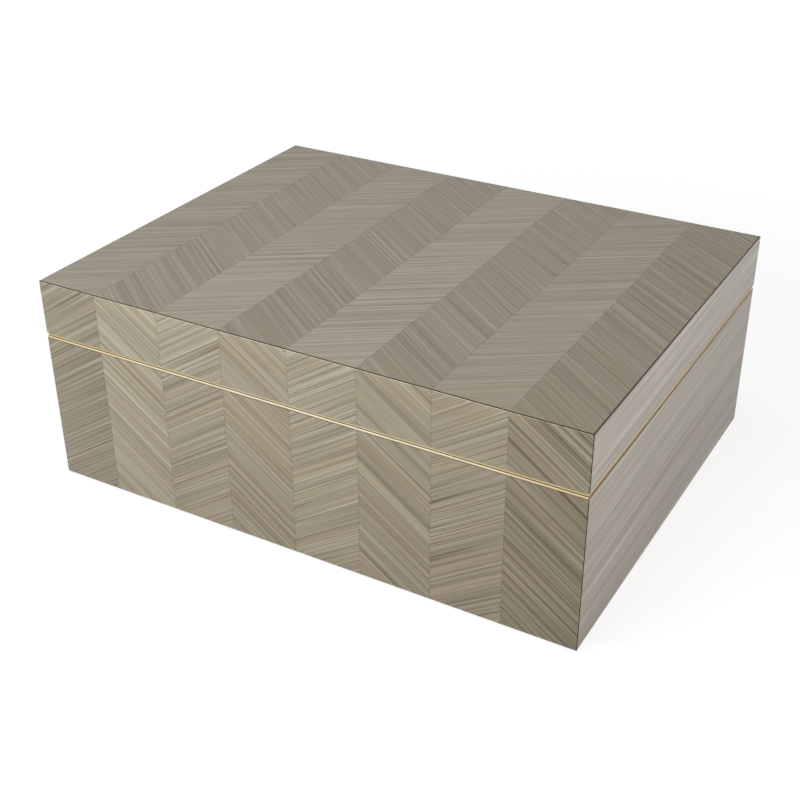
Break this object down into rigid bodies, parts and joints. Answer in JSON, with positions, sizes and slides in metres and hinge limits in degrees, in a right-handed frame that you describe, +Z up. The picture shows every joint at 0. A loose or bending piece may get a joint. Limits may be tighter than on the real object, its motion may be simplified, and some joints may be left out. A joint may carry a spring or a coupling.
{
  "type": "wooden box",
  "caption": "Rectangular wooden keepsake box in greyed chevron veneer with a brass rim line at the seam, a suede lining and a rear-hinged lid that stops just past upright.",
  "frame": {"origin": "centre of the felt's underside, which the box stands on", "axes": "+Z up, +X along the box's width to the right seen from the front, -Y out of the front; the hinges are at +Y"},
  "size_m": [0.31, 0.2452, 0.1185],
  "materials": {
    "chevron_veneer": "greyed straight-grain veneer under satin lacquer",
    "plain_veneer": "greyed straight-grain veneer under satin lacquer",
    "wood_core": "fibreboard, lacquered where it shows",
    "brass": "satin brass",
    "suede": "suede cloth",
    "felt": "felt"
  },
  "bodies": {
    "base": {"base_front_panel": "wood_core", "base_back_panel": "wood_core", "base_left_panel": "wood_core", "base_right_panel": "wood_core", "base_bottom_board": "wood_core", "base_front_veneer_1": "chevron_veneer", "base_front_veneer_2": "chevron_veneer", "base_front_veneer_3": "chevron_veneer", "base_front_veneer_4": "chevron_veneer", "base_front_veneer_5": "chevron_veneer", "base_front_veneer_6": "chevron_veneer", "base_front_veneer_7": "chevron_veneer", "base_front_veneer_8": "chevron_veneer", "base_back_veneer": "plain_veneer", "base_left_veneer": "plain_veneer", "base_right_veneer": "plain_veneer", "base_rim_strip": "brass", "base_liner": "suede", "base_floor_pad": "suede", "base_felt": "felt", "hinge_left_base_leaf": "brass", "hinge_left_pin": "brass", "hinge_left_base_screw_1": "brass", "hinge_left_base_screw_2": "brass", "hinge_right_base_leaf": "brass", "hinge_right_pin": "brass", "hinge_right_base_screw_1": "brass", "hinge_right_base_screw_2": "brass"},
    "lid": {"lid_front_panel": "wood_core", "lid_back_panel": "wood_core", "lid_left_panel": "wood_core", "lid_right_panel": "wood_core", "lid_top_board": "wood_core", "lid_front_veneer_1": "chevron_veneer", "lid_front_veneer_2": "chevron_veneer", "lid_front_veneer_3": "chevron_veneer", "lid_front_veneer_4": "chevron_veneer", "lid_front_veneer_5": "chevron_veneer", "lid_front_veneer_6": "chevron_veneer", "lid_front_veneer_7": "chevron_veneer", "lid_front_veneer_8": "chevron_veneer", "lid_top_veneer_1": "chevron_veneer", "lid_top_veneer_2": "chevron_veneer", "lid_top_veneer_3": "chevron_veneer", "lid_top_veneer_4": "chevron_veneer", "lid_top_veneer_5": "chevron_veneer", "lid_top_veneer_6": "chevron_veneer", "lid_top_veneer_7": "chevron_veneer", "lid_top_veneer_8": "chevron_veneer", "lid_back_veneer": "plain_veneer", "lid_left_veneer": "plain_veneer", "lid_right_veneer": "plain_veneer", "lid_rim_strip": "brass", "lid_lining_pad": "suede", "hinge_left_lid_leaf": "brass", "hinge_left_lid_screw_1": "brass", "hinge_left_lid_screw_2": "brass", "hinge_right_lid_leaf": "brass", "hinge_right_lid_screw_1": "brass", "hinge_right_lid_screw_2": "brass"}
  },
  "joints": [
    {"name": "lid_hinge", "type": "hinge", "parent": "base", "child": "lid", "pos_m": [0, 0.1223, 0.0868], "axis": [-1, 0, 0], "range_deg": [0, 95]}
  ]
}
